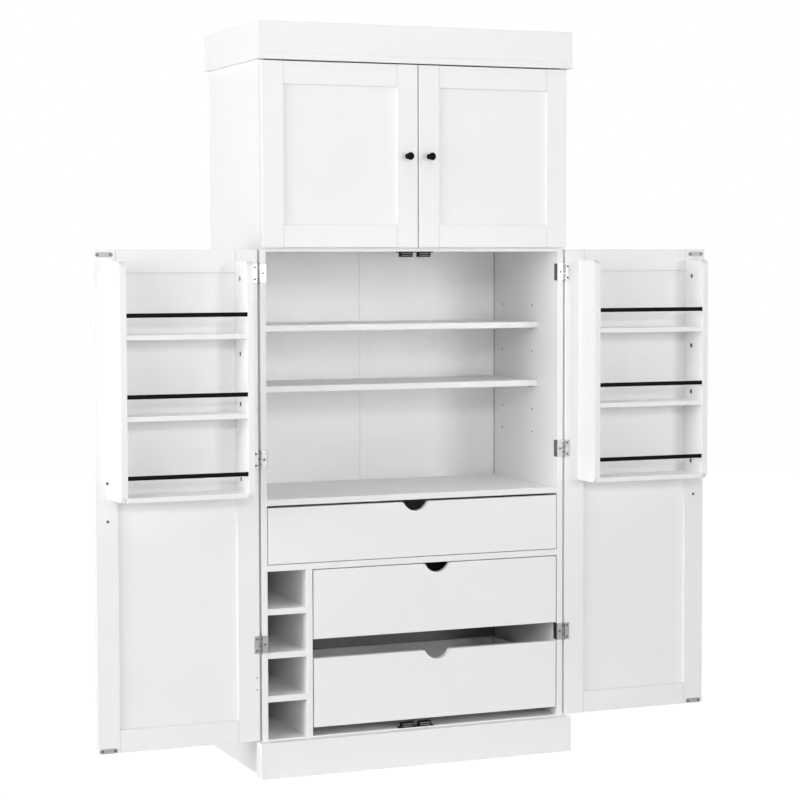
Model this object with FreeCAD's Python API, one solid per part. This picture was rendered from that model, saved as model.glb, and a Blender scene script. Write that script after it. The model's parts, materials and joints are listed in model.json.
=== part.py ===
import FreeCAD, Part
import math
import os

# A tall pantry cabinet: a flat-pack carcass with a cupboard above, a shelved compartment
# below it, three drawers, a column of bottle cells, and racks on the two lower doors.
# Axes: +X to the right seen from the front, +Y to the back, +Z up, origin on the floor in
# the middle of the footprint with the lower doors folded flat open, as they rest here.
# In the helpers and in every y below, y counts back from the front edges of the side panels.

# ---- driving dimensions, millimetres ----
width = 800.0
height = 1800.0
side_depth = 382.0
board = 15.0

# cornice and plinth
overhang = 12.0
front_overhang = 26.0
fascia_height = 74.0
fascia_board = 15.0
plinth_height = 87.0
plinth_return = 10.0

# heights inside, from the floor up
bottom_top = 90.0
cell_height = 90.25
cell_count = 4
cell_width = 99.0
top_bay_height = 142.5
compartment_height = 590.5

# back
back_setback = 2.0
back_board = 4.0
back_groove = 5.0
groove_clearance = 1.0
back_foot = 60.0
back_seam = 1.0
seam_strip_width = 40.0

# doors
door_thickness = 16.0
door_gap = 3.0
door_seam = 5.0
door_clearance = 3.0
door_back_gap = 2.8
rail_width = 54.0
panel_thickness = 6.0
panel_recess = 5.0
panel_tongue = 8.0
door_ease = 1.2
joint_ease = 0.5
upper_reveal = 1.0

# butt hinges of the lower doors
hinge_height = 42.0
hinge_offset = 3.0
hinge_sheet = 1.2
knuckle_radius = 2.7
hinge_pin_radius = 1.3
hinge_pin_clearance = 0.05
knuckle_gap = 0.2
pin_head_radius = 2.3
pin_head_height = 1.0
door_leaf_width = 13.0
leaf_edge_gap = 0.3
wrap_depth = 17.0
top_hinge_drop = 56.0
middle_hinge_rise = 97.0

# cup hinges of the upper doors
cup_radius = 17.5
cup_depth = 11.0
cup_wall = 1.2
cup_offset = 8.5
cup_flange_height = 52.0
cup_flange_width = 16.0
arm_width = 13.0
arm_height = 13.0
arm_length = 58.0
arm_tip_gap = 0.6
arm_plate_length = 34.0
arm_plate_height = 44.0
cup_hinge_share = 0.2164

# door racks
rack_depth = 88.0
rack_board = 15.0
rack_floor_gap = 16.0
rack_head_gap = 22.5
rack_corner = 16.0
rack_shelf = 11.5
rack_shelf_setback = 2.0
rack_top_tier = 168.0
rack_tiers = 3
bar_height = 10.0
bar_thickness = 3.0
bar_rise = 45.0
bar_setback = 2.0
bar_tongue = 5.0
cam_radius = 6.0
cam_depth = 9.0
cam_inset = 30.0
cam_end_inset = 40.0
cam_above_shelf = 19.25
cam_below_shelf = 37.5

# adjustable shelves and their pins
shelf_setback_past_rack = 24.0
shelf_side_gap = 1.0
low_shelf_rise = 249.0
high_shelf_rise = 397.5
pin_radius = 2.5
pin_hole_clearance = 0.05
pin_hole_depth = 9.0
pin_reach = 9.0
pin_pitch = 58.5
pin_front_inset = 35.0
pin_back_inset = 50.0

# drawers
front_board = 15.0
low_front_height = 168.0
low_front_floor_gap = 20.5
low_front_side_gap = 3.0
low_front_head_gap = 2.2
top_front_height = 135.3
top_front_floor_gap = 1.7
top_front_side_gap = 2.0
low_box_height = 113.0
top_box_height = 92.0
box_rise = 15.0
box_board = 12.0
box_back_y = 345.0
box_floor = 4.0
box_floor_rise = 10.0
box_floor_groove = 6.0
finger_radius = 35.0
finger_centre_rise = 12.4
finger_shoulder = 8.0
cut_margin = 1.0

# drawer runners
runner_space = 12.5
runner_sheet = 1.2
channel_height = 35.0
channel_depth = 9.0
channel_lip = 4.3
slider_height = 22.0
slider_hook = 4.0
slider_reach = 3.0
runner_front_y = 20.0
runner_length = 320.0
runner_rise = 36.0
glide_length = 30.0
glide_clearance = 0.3

# magnetic catches, strike plates, knobs, pulls and screws
catch_offset = 23.5
catch_width = 46.0
catch_body_width = 32.0
catch_height = 13.0
catch_depth = 14.0
catch_ear = 2.5
catch_face_y = -0.4
pole_width = 26.0
pole_thickness = 1.6
pole_proud = 1.0
pole_spacing = 5.0
strike_width = 43.0
strike_height = 11.5
strike_sheet = 1.0
strike_edge = 4.5
strike_screw_spacing = 30.0
knob_radius = 10.0
knob_neck_radius = 3.5
knob_foot_radius = 6.0
knob_foot_height = 2.0
knob_projection = 24.0
knob_disc = 8.0
pull_spacing = 89.0
pull_length = 125.0
pull_bar_radius = 5.0
pull_post_radius = 4.0
pull_projection = 30.0
pull_inset = 29.0
pull_level = 679.0
screw_head_radius = 3.0
screw_head_depth = 1.1
screw_shank_radius = 1.5
screw_length = 11.0
pull_screw_head_radius = 4.0
pull_screw_head_height = 1.6
pull_screw_radius = 2.0
pilot_radius = 1.2
pilot_depth = 8.0
pilot_level = 228.0
pilot_spacing = 28.5
edge_ease = 0.8

# ---- derived places ----
V = FreeCAD.Vector
front = (rack_depth - side_depth) / 2
half = width / 2
inner = half - board
back_y = side_depth - back_setback - back_board
top_board_z = height - fascia_height - board
cells_top = bottom_top + cell_count * cell_height + (cell_count - 1) * board
top_bay_floor = cells_top + board
compartment_floor_z = top_bay_floor + top_bay_height + board
compartment_top = compartment_floor_z + compartment_height
divider_top = compartment_top + board
seam_level = compartment_top + board / 2

cell_right = -inner + cell_width
bay_left = cell_right + board
front_face = -door_back_gap - door_thickness
back_face = -door_back_gap

upper_bottom = seam_level + door_seam / 2
upper_top = top_board_z - door_clearance
lower_bottom = plinth_height + door_clearance
lower_top = seam_level - door_seam / 2

axis_x = half + hinge_offset
axis_y = -door_back_gap / 2
panel_left = -half + rail_width
panel_right = -door_gap / 2 - rail_width

rack_bottom = compartment_floor_z + rack_floor_gap
rack_top = compartment_top - rack_head_gap
rack_pitch = (rack_top - rack_bottom - rack_shelf - rack_top_tier) / (rack_tiers - 1)
shelf_front = rack_depth + shelf_setback_past_rack
low_shelf_z = compartment_floor_z + low_shelf_rise
high_shelf_z = compartment_floor_z + high_shelf_rise
pin_rows_y = (shelf_front + pin_front_inset, back_y - pin_back_inset)

slack = 0.01
nodes = {}


# ---- helpers ----
def block(x0, x1, y0, y1, z0, z1):
    """A board between two planes along each axis."""
    return Part.makeBox(x1 - x0, y1 - y0, z1 - z0, V(x0, y0 + front, z0))


def rod(radius, start, end):
    """A round bar from one point to another."""
    a = V(start[0], start[1] + front, start[2])
    b = V(end[0], end[1] + front, end[2])
    return Part.makeCylinder(radius, (b - a).Length, a, b - a)


def edges_along(shape, axis, where):
    """The straight edges parallel to an axis that lie at the coordinates in where."""
    found = []
    for edge in shape.Edges:
        box = edge.BoundBox
        length = {"X": box.XLength, "Y": box.YLength, "Z": box.ZLength}
        place = {"X": box.Center.x, "Y": box.Center.y - front, "Z": box.Center.z}
        thin = all(length[other] < slack for other in length if other != axis)
        if thin and all(abs(place[key] - value) < slack for key, value in where.items()):
            found.append(edge)
    return found


def ease_face(shape, radius, axis, value):
    """Round the outline of the flat face that lies at one coordinate."""
    found = []
    for other in "XYZ".replace(axis, ""):
        found += edges_along(shape, other, {axis: value})
    return shape.makeFillet(radius, found)


def mirrored(shape):
    """The same piece on the other side of the cabinet."""
    return shape.mirror(V(0, 0, 0), V(1, 0, 0))


def both(shape):
    """A piece and its mirror image."""
    return [shape, mirrored(shape)]


def add(name, *pieces):
    """Name the solids that make one node."""
    nodes[name] = list(pieces)


def screw(point, direction, length=screw_length):
    """A countersunk wood screw with its head flush at a point, driven along a direction."""
    at = V(point[0], point[1] + front, point[2])
    way = V(*direction)
    head = Part.makeCone(screw_head_radius, screw_shank_radius, screw_head_depth, at, way)
    shank = Part.makeCylinder(screw_shank_radius, length, at, way)
    return head.fuse(shank).removeSplitter()


def bored(shape, fasteners):
    """A piece with the holes that its fasteners fill."""
    return shape.cut(fasteners)


# ---- carcass ----
def pin_levels():
    """Heights of the shelf pin rows: three for each adjustable shelf."""
    high = high_shelf_z - pin_radius
    low = low_shelf_z - pin_radius
    return [high + pin_pitch, high, high - pin_pitch, low, low - pin_pitch, low - 2 * pin_pitch]


def side_panel(fasteners):
    """The left side panel, grooved for the back and drilled for shelf pins."""
    panel = block(-half, -inner, 0, side_depth, 0, top_board_z)
    panel = panel.makeFillet(edge_ease, edges_along(panel, "Z", {"Y": 0.0}))
    groove = block(-inner - back_groove, -inner, back_y - groove_clearance, back_y + back_board,
                   back_foot, top_board_z)
    holes = [groove]
    for y in pin_rows_y:
        for z in pin_levels():
            mouth = (-inner, y, z)
            holes.append(rod(pin_radius + pin_hole_clearance, mouth, (-inner - pin_hole_depth, y, z)))
    return bored(panel, holes + fasteners)


def shelf_board(x0, x1, y0, y1, z0):
    """A horizontal carcass board with its front edges eased."""
    shelf = block(x0, x1, y0, y1, z0, z0 + board)
    return shelf.makeFillet(edge_ease, edges_along(shelf, "X", {"Y": y0}))


def build_carcass(left_screws, right_screws, panel_screws):
    """Panels, back, cornice and plinth."""
    add("side_panel_left", side_panel(left_screws))
    right = [mirrored(s) for s in right_screws]
    add("side_panel_right", mirrored(side_panel(right)))
    top = block(-half - overhang, half + overhang, -front_overhang, side_depth,
                top_board_z, top_board_z + board)
    add("top_board", ease_face(top, edge_ease, "Y", -front_overhang))
    add("divider_shelf", bored(shelf_board(-inner, inner, 0, back_y, compartment_top), panel_screws))
    add("compartment_floor", shelf_board(-inner, inner, 0, back_y, compartment_floor_z - board))
    add("drawer_panel", shelf_board(-inner, inner, 0, back_y, cells_top))
    bottom = shelf_board(-inner, inner, 0, back_y, bottom_top - board)
    add("bottom_panel", bored(bottom, panel_screws))
    divider = block(cell_right, bay_left, 0, back_y, bottom_top, cells_top)
    add("cubby_divider", divider.makeFillet(edge_ease, edges_along(divider, "Z", {"Y": 0.0})))
    cells = []
    for step in range(1, cell_count):
        z = bottom_top + step * cell_height + (step - 1) * board
        cells.append(shelf_board(-inner, cell_right, 0, back_y, z))
    add("cubby_shelves", *cells)

    sheet = block(-inner - back_groove, -back_seam / 2, back_y, back_y + back_board, back_foot, top_board_z)
    add("back_panels", *both(sheet))
    strip_y = back_y + back_board
    strip = block(-seam_strip_width / 2, seam_strip_width / 2, strip_y, side_depth, back_foot, top_board_z)
    add("back_seam_strip", strip)

    fascia_z = top_board_z + board
    fascia_back = fascia_board - front_overhang
    outer = half + overhang
    fascia = block(-outer, outer, -front_overhang, fascia_back, fascia_z, height)
    add("cornice_front", ease_face(fascia, edge_ease, "Y", -front_overhang))
    fascia_side = block(-outer, -outer + fascia_board, fascia_back, side_depth, fascia_z, height)
    add("cornice_sides", *both(fascia_side))

    plinth = block(-outer, outer, -front_overhang, 0, 0, plinth_height)
    add("plinth_front", ease_face(plinth, edge_ease, "Y", -front_overhang))
    add("plinth_returns", *both(block(-outer, -half, 0, plinth_return, 0, plinth_height)))


def build_shelves():
    """The two adjustable shelves and the pins that carry them."""
    reach = inner - shelf_side_gap
    shelves = [shelf_board(-reach, reach, shelf_front, back_y - shelf_side_gap, z)
               for z in (low_shelf_z, high_shelf_z)]
    add("adjustable_shelves", *shelves)
    pins = []
    for z in (low_shelf_z - pin_radius, high_shelf_z - pin_radius):
        for y in pin_rows_y:
            start = (-inner - pin_hole_depth, y, z)
            pins += both(rod(pin_radius, start, (-inner + pin_reach, y, z)))
    add("shelf_pins", *pins)


# ---- doors ----
def door_frame(x0, x1, z0, z1, fasteners, pockets):
    """Two stiles with two rails between them, and the recessed panel in their grooves."""
    stile_right = x1 - rail_width
    stile_left = x0 + rail_width
    back = back_face - panel_recess
    panel = block(stile_left - panel_tongue, stile_right + panel_tongue, back - panel_thickness, back,
                  z0 + rail_width - panel_tongue, z1 - rail_width + panel_tongue)
    stiles = [block(x0, stile_left, front_face, back_face, z0, z1),
              block(stile_right, x1, front_face, back_face, z0, z1)]
    stiles = [ease_stile(stile, x) for stile, x in zip(stiles, (x0, x1))]
    grooves = [joint_groove(x, y, z0, z1)
               for x in (stile_left, stile_right) for y in (front_face, back_face)]
    rails = [block(stile_left, stile_right, front_face, back_face, z0, z0 + rail_width),
             block(stile_left, stile_right, front_face, back_face, z1 - rail_width, z1)]
    rails = [ease_rail(rail, outer, inner_z) for rail, outer, inner_z
             in zip(rails, (z0, z1), (z0 + rail_width, z1 - rail_width))]
    frame = [piece.cut([panel] + grooves + pockets + fasteners) for piece in stiles + rails]
    return frame, panel


def joint_groove(x, y, z0, z1):
    """A thin square bar set cornerwise, which eases the edges that meet where rails join a stile."""
    corners = [V(x - joint_ease, y + front, z0), V(x, y + front - joint_ease, z0),
               V(x + joint_ease, y + front, z0), V(x, y + front + joint_ease, z0)]
    return Part.Face(Part.makePolygon(corners + corners[:1])).extrude(V(0, 0, z1 - z0))


def ease_stile(stile, outer_x):
    """Round a stile's two long outer edges."""
    return stile.makeFillet(door_ease, edges_along(stile, "Z", {"X": outer_x}))


def ease_rail(rail, outer_z, inner_z):
    """Round a rail's two long outer edges, and break the two beside the panel."""
    rail = rail.makeFillet(door_ease, edges_along(rail, "X", {"Z": outer_z}))
    return rail.makeChamfer(joint_ease, edges_along(rail, "X", {"Z": inner_z}))


def knob():
    """A turned knob on a short neck, on the middle of the inner stile of the left upper door."""
    x = -door_gap / 2 - rail_width / 2
    z = (upper_bottom + upper_top) / 2
    face = front_face - knob_projection
    neck = rod(knob_neck_radius, (x, front_face, z), (x, face + knob_disc / 2, z))
    foot = rod(knob_foot_radius, (x, front_face, z), (x, front_face - knob_foot_height, z))
    disc = rod(knob_radius, (x, face + knob_disc, z), (x, face, z))
    rims = [edge for edge in disc.Edges if edge.Length > 2 * math.pi * knob_radius - slack
            and edge.BoundBox.YLength < slack]
    disc = disc.makeFillet(knob_disc / 3, rims)
    return neck.fuse([foot, disc]).removeSplitter()


def upper_cup(z):
    """The cup of a concealed hinge in the left upper door, with its screw flange."""
    x = -inner + cup_offset
    cup = rod(cup_radius, (x, back_face, z), (x, back_face - cup_depth, z))
    flange = block(x - cup_flange_width / 2, x + cup_flange_width / 2, back_face,
                   back_face + hinge_sheet, z - cup_flange_height / 2, z + cup_flange_height / 2)
    rim = rod(cup_radius, (x, back_face, z), (x, back_face + hinge_sheet, z))
    room = rod(cup_radius - cup_wall, (x, back_face + hinge_sheet, z),
               (x, back_face - cup_depth + cup_wall, z))
    return cup.fuse([flange, rim]).cut(room).removeSplitter()


def cup_arm(z):
    """The arm of a concealed hinge and its plate on the left side panel."""
    x = -inner + cup_offset
    tip = back_face + hinge_sheet + arm_tip_gap
    arm = block(x - arm_width / 2, x + arm_width / 2, tip, tip + arm_length,
                z - arm_height / 2, z + arm_height / 2)
    arm = arm.makeFillet(arm_width / 4, edges_along(arm, "Y", {"X": x + arm_width / 2}))
    plate_y = tip + arm_length - arm_plate_length
    plate = block(-inner, x - arm_width / 4, plate_y, plate_y + arm_plate_length,
                  z - arm_plate_height / 2, z + arm_plate_height / 2)
    plate = plate.makeFillet(hinge_sheet, edges_along(plate, "Y", {"X": x - arm_width / 4}))
    return arm.fuse(plate).removeSplitter()


def build_upper_doors():
    """The two upper doors with their knobs and concealed hinges."""
    x0 = -half + upper_reveal
    x1 = -door_gap / 2
    hinge_inset = cup_hinge_share * (upper_top - upper_bottom)
    levels = (upper_bottom + hinge_inset, upper_top - hinge_inset)
    cups = [upper_cup(z) for z in levels]
    cup_x = -inner + cup_offset
    pockets = [rod(cup_radius, (cup_x, back_face, z), (cup_x, back_face - cup_depth, z)) for z in levels]
    frame, panel = door_frame(x0, x1, upper_bottom, upper_top, [], pockets)
    for side, turn in (("left", lambda s: s), ("right", mirrored)):
        name = "upper_%s_door" % side
        add(name + "_frame", *[turn(s) for s in frame])
        add(name + "_panel", turn(panel))
        add(name + "_knob", turn(knob()))
        add(name + "_hinge_cups", *[turn(s) for s in cups])
    arms = []
    for z in levels:
        arms += both(cup_arm(z))
    add("cup_hinge_arms", *arms)


def knuckle_zones(z):
    """The heights of a hinge's three knuckles, the middle one on the door."""
    bottom = z - hinge_height / 2
    third = hinge_height / 3
    return [(bottom, bottom + third - knuckle_gap / 2),
            (bottom + third + knuckle_gap / 2, bottom + 2 * third - knuckle_gap / 2),
            (bottom + 2 * third + knuckle_gap / 2, bottom + hinge_height)]


def knuckle(z0, z1, y0, y1):
    """One knuckle with the strip of sheet that joins it to its leaf."""
    ring = rod(knuckle_radius, (-axis_x, axis_y, z0), (-axis_x, axis_y, z1))
    arm = block(-axis_x, -half + hinge_sheet, y0, y1, z0, z1)
    bore = rod(hinge_pin_radius + hinge_pin_clearance, (-axis_x, axis_y, z0), (-axis_x, axis_y, z1))
    return ring.fuse(arm).cut(bore)


def frame_leaf(z):
    """The leaf that covers the front edge of the left side panel and turns onto its inner face."""
    low, high = z - hinge_height / 2, z + hinge_height / 2
    face = block(-half, -inner + hinge_sheet, -hinge_sheet, 0, low, high)
    wrap = block(-inner, -inner + hinge_sheet, -hinge_sheet, wrap_depth, low, high)
    zones = knuckle_zones(z)
    knuckles = [knuckle(a, b, -hinge_sheet, 0) for a, b in (zones[0], zones[2])]
    return face.fuse([wrap] + knuckles).removeSplitter()


def frame_leaf_screws(z):
    """One screw into the panel's front edge and two into its inner face."""
    middle = (-half - inner) / 2
    across = -inner + hinge_sheet
    rise = hinge_height / 3
    found = [screw((middle, -hinge_sheet, z), (0, 1, 0))]
    for level in (z - rise, z + rise):
        found.append(screw((across, wrap_depth / 2, level), (-1, 0, 0)))
    return found


def door_leaf(z):
    """The leaf on the back face of the closed left door."""
    low, high = z - hinge_height / 2, z + hinge_height / 2
    face = block(-half + leaf_edge_gap, -half + door_leaf_width, back_face, back_face + hinge_sheet,
                 low, high)
    a, b = knuckle_zones(z)[1]
    return face.fuse(knuckle(a, b, back_face, back_face + hinge_sheet)).removeSplitter()


def door_leaf_screws(z):
    """Two screws into the door's stile."""
    x = -half + door_leaf_width / 2
    rise = hinge_height / 3
    return [screw((x, back_face + hinge_sheet, level), (0, -1, 0)) for level in (z - rise, z + rise)]


def hinge_pin(z):
    """A headed pin through a hinge's three knuckles."""
    low, high = z - hinge_height / 2, z + hinge_height / 2
    shank = rod(hinge_pin_radius, (-axis_x, axis_y, low), (-axis_x, axis_y, high))
    heads = [rod(pin_head_radius, (-axis_x, axis_y, low - pin_head_height), (-axis_x, axis_y, low)),
             rod(pin_head_radius, (-axis_x, axis_y, high), (-axis_x, axis_y, high + pin_head_height))]
    return shank.fuse(heads).removeSplitter()


def strike(z):
    """A steel plate near the free edge of the closed left door."""
    x1 = -door_gap / 2 - strike_edge
    return block(x1 - strike_width, x1, back_face, back_face + strike_sheet,
                 z - strike_height / 2, z + strike_height / 2)


def strike_screws(z):
    """Two screws through a strike plate."""
    centre = -door_gap / 2 - strike_edge - strike_width / 2
    return [screw((centre + side * strike_screw_spacing / 2, back_face + strike_sheet, z), (0, -1, 0))
            for side in (-1, 1)]


def pull():
    """A round bar pull on two posts, on the outer face of the closed left door."""
    x = -door_gap / 2 - pull_inset
    bar_y = front_face - pull_projection + pull_bar_radius
    bar = rod(pull_bar_radius, (x, bar_y, pull_level - pull_length / 2),
              (x, bar_y, pull_level + pull_length / 2))
    bar = bar.makeFillet(pull_bar_radius / 3, [e for e in bar.Edges if e.BoundBox.ZLength < slack])
    posts = [rod(pull_post_radius, (x, front_face, z), (x, bar_y, z)) for z in pull_screw_levels()]
    return bar.fuse(posts).removeSplitter()


def pull_screw_levels():
    """The two heights at which a pull is screwed on."""
    return (pull_level - pull_spacing / 2, pull_level + pull_spacing / 2)


def pull_screw(z):
    """A pan-headed machine screw from the back face of the left door into the pull's post."""
    x = -door_gap / 2 - pull_inset
    head = rod(pull_screw_head_radius, (x, back_face, z), (x, back_face + pull_screw_head_height, z))
    rim_y = front + back_face + pull_screw_head_height
    edges = [e for e in head.Edges if abs(e.BoundBox.YMax - rim_y) < slack and e.BoundBox.YLength < slack]
    head = head.makeFillet(pull_screw_head_height / 2, edges)
    return head.fuse(rod(pull_screw_radius, (x, back_face, z), (x, front_face, z))).removeSplitter()


def rack_span():
    """The inner faces of a rack's two side boards, in line with the stiles."""
    return panel_left, panel_right


def rack_bars():
    """Flat retaining bars across the front of each tier."""
    left, right = rack_span()
    y1 = back_face + rack_depth - bar_setback
    bars = []
    for tier in range(rack_tiers):
        z = rack_bottom + rack_shelf + tier * rack_pitch + bar_rise
        bar = block(left - bar_tongue, right + bar_tongue, y1 - bar_thickness, y1,
                    z - bar_height / 2, z + bar_height / 2)
        bars.append(bar)
    return bars


def rack_cams():
    """Cam fasteners let into the inner faces of the rack's side boards."""
    left, right = rack_span()
    y = back_face + cam_inset
    levels = (rack_bottom + cam_end_inset,
              rack_bottom + rack_pitch + rack_shelf + cam_above_shelf,
              rack_bottom + 2 * rack_pitch - cam_below_shelf,
              rack_top - cam_end_inset)
    cams = []
    for z in levels:
        cams.append(rod(cam_radius, (left, y, z), (left - cam_depth, y, z)))
        cams.append(rod(cam_radius, (right, y, z), (right + cam_depth, y, z)))
    return cams


def rack_sides(fillers):
    """Two upright boards with rounded front corners, cut for bars and cams."""
    left, right = rack_span()
    y1 = back_face + rack_depth
    boards = []
    for x0 in (left - rack_board, right):
        side = block(x0, x0 + rack_board, back_face, y1, rack_bottom, rack_top)
        corners = edges_along(side, "X", {"Y": y1})
        side = side.makeFillet(rack_corner, corners)
        boards.append(side.cut(fillers))
    return boards


def rack_shelves():
    """The three shelves of a rack."""
    left, right = rack_span()
    y1 = back_face + rack_depth - rack_shelf_setback
    shelves = []
    for tier in range(rack_tiers):
        z = rack_bottom + tier * rack_pitch
        shelf = block(left, right, back_face, y1, z, z + rack_shelf)
        shelves.append(shelf.makeFillet(edge_ease, edges_along(shelf, "X", {"Y": y1})))
    return shelves


def opened(shape):
    """Swing a piece of the closed left lower door half a turn out to its rest place."""
    turned = shape.copy()
    turned.rotate(V(-axis_x, axis_y + front, 0), V(0, 0, 1), -180)
    return turned


def lower_door(side, hinge_levels, pilots):
    """One lower door with its hinge leaves, strikes, pull and rack, folded flat open."""
    strikes = [strike(z) for z in catch_levels()]
    screws = []
    for z in hinge_levels:
        screws += door_leaf_screws(z)
    for z in catch_levels():
        screws += strike_screws(z)
    pull_screws = [pull_screw(z) for z in pull_screw_levels()]
    frame, panel = door_frame(-half, -door_gap / 2, lower_bottom, lower_top, screws + pull_screws, pilots)
    leaves = [bored(door_leaf(z), screws) for z in hinge_levels]
    plates = [bored(s, screws) for s in strikes]
    bars, cams = rack_bars(), rack_cams()
    pieces = {"frame": frame, "panel": [panel], "hinge_leaves": leaves, "strike_plates": plates,
              "pull": [pull()], "fasteners": screws + pull_screws + cams,
              "rack_sides": rack_sides(bars + cams), "rack_shelves": rack_shelves(), "rack_bars": bars}
    for part_name, solids in pieces.items():
        placed = [opened(s) for s in solids]
        if side == "right":
            placed = [mirrored(s) for s in placed]
        add("lower_%s_door_%s" % (side, part_name), *placed)


def pilot_holes():
    """Two pilot holes of an unused hinge position on the left lower door."""
    x = -half + door_leaf_width / 2
    return [rod(pilot_radius, (x, back_face, z), (x, back_face - pilot_depth, z))
            for z in (pilot_level - pilot_spacing / 2, pilot_level + pilot_spacing / 2)]


# ---- magnetic catches ----
def catch_levels():
    """Middle heights of the lower and the upper catches."""
    return (bottom_top + catch_height / 2, compartment_top - catch_height / 2)


def catch(z, up):
    """A catch case on the left, with its ears against the board it is screwed to."""
    y0, y1 = catch_face_y, catch_face_y + catch_depth
    low, high = z - catch_height / 2, z + catch_height / 2
    ear_z = high - catch_ear if up else low
    body_half, ear_half = catch_body_width / 2, catch_width / 2
    body = block(-catch_offset - body_half, -catch_offset + body_half, y0, y1, low, high)
    ears = block(-catch_offset - ear_half, -catch_offset + ear_half, y0, y1, ear_z, ear_z + catch_ear)
    return body.fuse(ears).removeSplitter()


def catch_poles(z):
    """The two steel pole plates of a catch, proud of its case."""
    y0, y1 = catch_face_y - pole_proud, catch_face_y + catch_depth - pole_thickness
    x0, x1 = -catch_offset - pole_width / 2, -catch_offset + pole_width / 2
    return [block(x0, x1, y0, y1, z + side * pole_spacing / 2 - pole_thickness / 2,
                  z + side * pole_spacing / 2 + pole_thickness / 2) for side in (-1, 1)]


def catch_screws(z, up):
    """One screw through each ear of a catch, heads away from the board."""
    ear_reach = (catch_width + catch_body_width) / 4
    level = z + catch_height / 2 - catch_ear if up else z - catch_height / 2 + catch_ear
    way = (0, 0, 1) if up else (0, 0, -1)
    y = catch_face_y + catch_depth / 2
    return [screw((-catch_offset + side * ear_reach, y, level), way) for side in (-1, 1)]


def build_catches():
    """Four catches; returns their screws."""
    cases, poles, screws = [], [], []
    for z, up in zip(catch_levels(), (False, True)):
        plates = catch_poles(z)
        fixings = catch_screws(z, up)
        cases += both(catch(z, up).cut(plates + fixings))
        for plate in plates:
            poles += both(plate)
        for fixing in fixings:
            screws += both(fixing)
    add("catch_cases", *cases)
    add("catch_pole_plates", *poles)
    return screws


# ---- drawers ----
def channel(wall_x, way, z):
    """The cabinet half of a runner: a lipped channel screwed to a wall."""
    y0, y1 = runner_front_y, runner_front_y + runner_length
    top = z + channel_height / 2
    bottom = z - channel_height / 2
    inside = channel_depth - runner_sheet
    strips = [(0, runner_sheet, bottom, top),
              (0, channel_depth, top - runner_sheet, top),
              (0, channel_depth, bottom, bottom + runner_sheet),
              (inside, channel_depth, top - runner_sheet - channel_lip, top),
              (inside, channel_depth, bottom, bottom + runner_sheet + channel_lip)]
    return profile_bar(wall_x, way, strips, y0, y1)


def slider(wall_x, way, z):
    """The drawer half of a runner: a hooked channel screwed to the drawer's side."""
    y0, y1 = runner_front_y, runner_front_y + runner_length
    top = z + slider_height / 2
    bottom = z - slider_height / 2
    strips = [(runner_space - runner_sheet, runner_space, bottom, top),
              (slider_reach, runner_space, top - runner_sheet, top),
              (slider_reach, runner_space, bottom, bottom + runner_sheet),
              (slider_reach, slider_reach + runner_sheet, top - runner_sheet, top + slider_hook),
              (slider_reach, slider_reach + runner_sheet, bottom - slider_hook, bottom + runner_sheet)]
    return profile_bar(wall_x, way, strips, y0, y1)


def glide(wall_x, way, z):
    """A nylon pad in the mouth of a channel, under the slider's lower hook."""
    floor = z - channel_height / 2 + runner_sheet
    head = z - slider_height / 2 - slider_hook - glide_clearance
    strips = [(runner_sheet, channel_depth - runner_sheet, floor, head)]
    return profile_bar(wall_x, way, strips, runner_front_y, runner_front_y + glide_length)


def profile_bar(wall_x, way, strips, y0, y1):
    """A straight bar whose section is a union of strips, measured out from a wall."""
    bars = []
    for u0, u1, z0, z1 in strips:
        a, b = sorted((wall_x + way * u0, wall_x + way * u1))
        bars.append(block(a, b, y0, y1, z0, z1))
    if len(bars) == 1:
        return bars[0]
    return bars[0].fuse(bars[1:]).removeSplitter()


def drawer_front(x0, x1, z0, z1):
    """A drawer front with a rounded finger cut-out in its top edge."""
    panel = ease_face(block(x0, x1, 0, front_board, z0, z1), edge_ease, "Y", 0.0)
    middle = (x0 + x1) / 2
    centre = z1 + finger_centre_rise
    scoop = rod(finger_radius, (middle, -cut_margin, centre), (middle, front_board + cut_margin, centre))
    shoulders = [finger_shoulder_piece(middle, side, z1) for side in (-1, 1)]
    return panel.cut([scoop] + shoulders)


def finger_shoulder_piece(middle, side, z1):
    """The sliver between the scoop, the top edge and the small arc that blends them."""
    r = finger_shoulder
    reach = finger_radius + r
    drop = finger_centre_rise + r
    across = math.sqrt(reach ** 2 - drop ** 2)
    start_y = front - cut_margin
    small = V(middle + side * across, start_y, z1 - r)
    big = V(middle, start_y, z1 + finger_centre_rise)
    touch = small + (big - small).normalize() * r
    crown = V(small.x, small.y, z1)
    bend = small + ((touch - small) + (crown - small)).normalize() * r
    over = V(middle, start_y, z1)
    wire = Part.Wire([Part.Arc(crown, bend, touch).toShape(),
                      Part.LineSegment(touch, over).toShape(),
                      Part.LineSegment(over, crown).toShape()])
    return Part.Face(wire).extrude(V(0, front_board + 2 * cut_margin, 0))


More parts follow.
